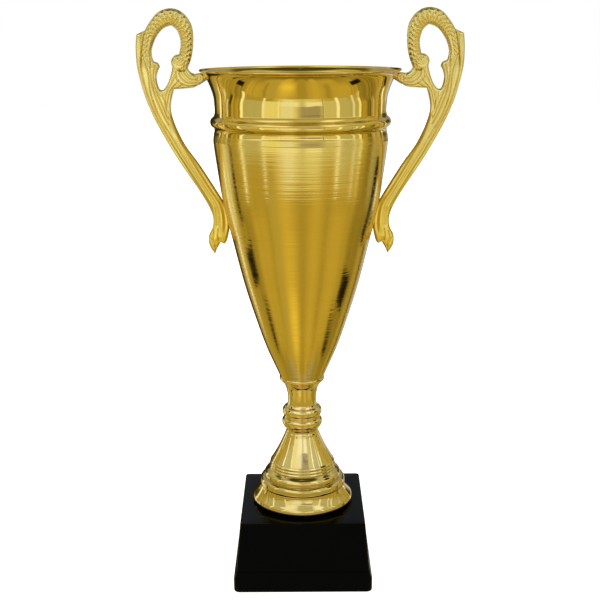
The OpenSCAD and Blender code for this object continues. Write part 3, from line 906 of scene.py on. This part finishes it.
def scaled(values, factor):
    return tuple(factor * value for value in values)


def patches(nodes, colour, azimuth, level, rows):
    """Lays a list of patches over a colour, by azimuth and by pitch or height."""
    for _, middle, half, soft, tint, strength in rows:
        turn = nodes.math("WRAP", nodes.math("SUBTRACT", azimuth, middle[0]), 180.0, -180.0)
        around = nodes.math("ABSOLUTE", turn)
        above = nodes.math("ABSOLUTE", nodes.math("SUBTRACT", level, middle[1]))
        across = nodes.map(around, half[0] + soft, half[0] - soft)
        upright = nodes.map(above, half[1] + soft, half[1] - soft)
        colour = nodes.mix(nodes.math("MULTIPLY", across, upright), colour, scaled(tint, strength))
    return colour


def azimuth_of(nodes, x, y):
    """The direction of a point in degrees, from -Y round towards +X."""
    return nodes.math("DEGREES", nodes.math("ARCTAN2", x, nodes.math("MULTIPLY", y, -1.0)))


FOLDS_PER_DEGREE = 0.22


def folds(nodes, azimuth, low, high):
    """Folds of cloth, as upright streaks between two strengths."""
    turn = nodes.new("ShaderNodeCombineXYZ")
    nodes.link(nodes.math("MULTIPLY", azimuth, FOLDS_PER_DEGREE), turn.inputs["X"])
    return nodes.map(nodes.noise(turn.outputs[0], 1.0, 3, 0.65), 0.35, 0.65, low, high)


def build_world():
    """The camera sees a white backdrop, and the cup reflects a warm studio."""
    world = bpy.data.worlds.new("studio")
    bpy.context.scene.world = world
    world.use_nodes = True
    world.node_tree.nodes.clear()
    nodes = Nodes(world.node_tree)
    x, y, z = nodes.parts(nodes.new("ShaderNodeTexCoord").outputs["Generated"])
    azimuth = azimuth_of(nodes, x, y)
    pitch = nodes.math("DEGREES", nodes.math("ARCSINE", z))

    # the wall, paler up at the ceiling and darker down by the foot, between these pitches
    colour = nodes.mix(nodes.map(pitch, 14, 30), scaled(AMBER, 0.42), scaled(CREAM, 0.5))
    colour = nodes.mix(nodes.map(pitch, -50, -75), colour, scaled(AMBER, 0.21))
    colour = patches(nodes, colour, azimuth, pitch, STUDIO)
    sides = nodes.map(nodes.math("ABSOLUTE", azimuth), 60, 90)
    cloth = nodes.math("MULTIPLY", sides, folds(nodes, azimuth, -0.5, 0.5))
    streaks = nodes.math("ADD", LIGHT, cloth)

    seen = nodes.new("ShaderNodeBackground")
    seen.inputs["Color"].default_value = (1, 1, 1, 1)
    around = nodes.new("ShaderNodeBackground")
    nodes.link(colour, around.inputs["Color"])
    nodes.link(streaks, around.inputs["Strength"])
    choose = nodes.new("ShaderNodeMixShader")
    nodes.link(nodes.new("ShaderNodeLightPath").outputs["Is Camera Ray"], choose.inputs[0])
    nodes.link(around.outputs[0], choose.inputs[1])
    nodes.link(seen.outputs[0], choose.inputs[2])
    nodes.link(choose.outputs[0], nodes.new("ShaderNodeOutputWorld").inputs["Surface"])


def stage_mesh(name, vertices, faces, finish):
    """A part of the studio, with its points in metres. It throws no shadow."""
    mesh = bpy.data.meshes.new(name)
    mesh.from_pydata(vertices, [], faces)
    mesh.materials.append(finish)
    made = bpy.data.objects.new(name, mesh)
    bpy.context.scene.collection.objects.link(made)
    made.visible_shadow = False
    return made


def build_card():
    """The lit front wall that the cup reflects. The camera looks through it."""
    made, nodes, light = emitter("card_light")
    x, y, z = nodes.parts(nodes.new("ShaderNodeTexCoord").outputs["Object"])
    azimuth = azimuth_of(nodes, x, y)
    colour = patches(nodes, CREAM, azimuth, nodes.math("DIVIDE", z, MM), CARD)
    nodes.link(colour, light.inputs["Color"])
    nodes.link(folds(nodes, azimuth, 0.97 * LIGHT, 1.03 * LIGHT), light.inputs["Strength"])
    turns = np.radians(np.linspace(-CARD_HALF, CARD_HALF, 81))
    edge = [(CARD_R * MM * math.sin(a), -CARD_R * MM * math.cos(a)) for a in turns]
    count = len(edge)
    vertices = [(x, y, z * MM) for z in (CARD_LOW, CARD_TOP) for x, y in edge]
    faces = [(k, k + 1, count + k + 1, count + k) for k in range(count - 1)]
    stage_mesh("front_card", vertices, faces, made).visible_camera = False


FLOOR_HALF = 6
SQUARE = ((-1, -1), (1, -1), (1, 1), (-1, 1))


def build_floor():
    """A pale floor that runs into the white backdrop. No light from it reaches the cup."""
    made, _, _ = material("floor_pale", (0.9, 0.9, 0.9), 0.0, 0.8, Emission_Color=(1, 1, 1, 1),
                          Emission_Strength=1.1)
    corners = [(FLOOR_HALF * a, FLOOR_HALF * b, 0) for a, b in SQUARE]
    floor = stage_mesh("floor", corners, [(0, 1, 2, 3)], made)
    floor.visible_glossy = False
    floor.visible_diffuse = False


# Small cards close to the cup: a pale one that the face of the base reflects, and dark ones that
# stand as stripes in the sides of the bowl. Each is its middle, the azimuth it faces along, its half
# width and half height in mm and its strength.
SMALL_CARDS = [
    ("pale_card", (0, -68, 24), 0, 110, 33, 0.52),
    ("dark_card_left", (-137, -11, 219), -103, 20, 21, 0.004),
    ("dark_card_right", (136, -18, 186), 96, 23, 25, 0.004),
    ("dark_card_far_right", (142, 30, 292), 127, 11, 48, 0.004),
    ("dark_card_far_left", (-148, -14, 294), -106, 6, 31, 0.004),
]


def build_small_cards():
    """Hangs up the small cards. Only mirrored rays see them."""
    for name, (x, y, z), facing, half_width, half_height, strength in SMALL_CARDS:
        made, nodes, light = emitter(name + "_light")
        tint = scaled(DAYLIGHT, strength)
        cloud = nodes.noise(nodes.object_point(), 12, 2)
        nodes.link(nodes.mix(cloud, tint, scaled(tint, 0.85)), light.inputs["Color"])
        across = half_width * math.cos(math.radians(facing))
        ahead = half_width * math.sin(math.radians(facing))
        corners = [(x + a * across, y + a * ahead, z + b * half_height) for a, b in SQUARE]
        card = stage_mesh(name, [scaled(corner, MM) for corner in corners], [(0, 1, 2, 3)], made)
        card.visible_camera = False
        card.visible_diffuse = False


CAMERA_AT = (0, -0.845, 0.456)
CAMERA_TILT, CAMERA_ROLL = 14.4, -0.3
SENSOR, LENS = 36, 62.6
SHIFT_X = -0.0026


def build_camera():
    """The camera, tilted down at the cup and rolled a little."""
    data = bpy.data.cameras.new("camera")
    data.sensor_width = SENSOR
    data.lens = LENS
    data.shift_x = SHIFT_X
    data.clip_start = 0.01
    camera = bpy.data.objects.new("camera", data)
    bpy.context.scene.collection.objects.link(camera)
    tilt = Matrix.Rotation(math.radians(90 - CAMERA_TILT), 4, "X")
    roll = Matrix.Rotation(math.radians(CAMERA_ROLL), 4, "Z")
    camera.matrix_world = Matrix.Translation(CAMERA_AT) @ tilt @ roll
    bpy.context.scene.camera = camera


# ---------------------------------------------------------------- everything

make_bowl(spun_gold(), turned_gold(), inner_gold())
make_stem(moulded_gold())
make_base(gloss_black())
make_handles(cast_gold())
dress([
    (steel(), ["handle_screws", "handle_washers", "rod_cap_nut", "rod_lock_washer", "bowl_washer",
               "foot_spacer", "tie_rod", "base_washer", "base_nut", "plate_screws"]),
    (plain("pad_white", (0.8, 0.79, 0.75), (0.68, 0.67, 0.63), 0.6, 700), ["seat_pad"]),
    (plain("gasket_rubber", (0.02, 0.02, 0.02), (0.035, 0.035, 0.035), 0.7, 900), ["foot_gasket"]),
    (plain("plate_black", (0.02, 0.02, 0.021), (0.03, 0.03, 0.03), 0.5, 1200), ["base_plate"]),
    (plain("ballast_cement", (0.33, 0.32, 0.3), (0.2, 0.2, 0.19), 0.9, 260, 0.6, 0.0006),
     ["base_weight"]),
    (plain("felt_green", (0.012, 0.035, 0.016), (0.03, 0.06, 0.03), 0.95, 3000, 0.8, 0.0003),
     ["base_felt"]),
])
build_world()
build_card()
build_small_cards()
build_floor()
build_camera()
bpy.context.scene.view_settings.view_transform = "Standard"
bpy.context.scene.cycles.use_denoising = True
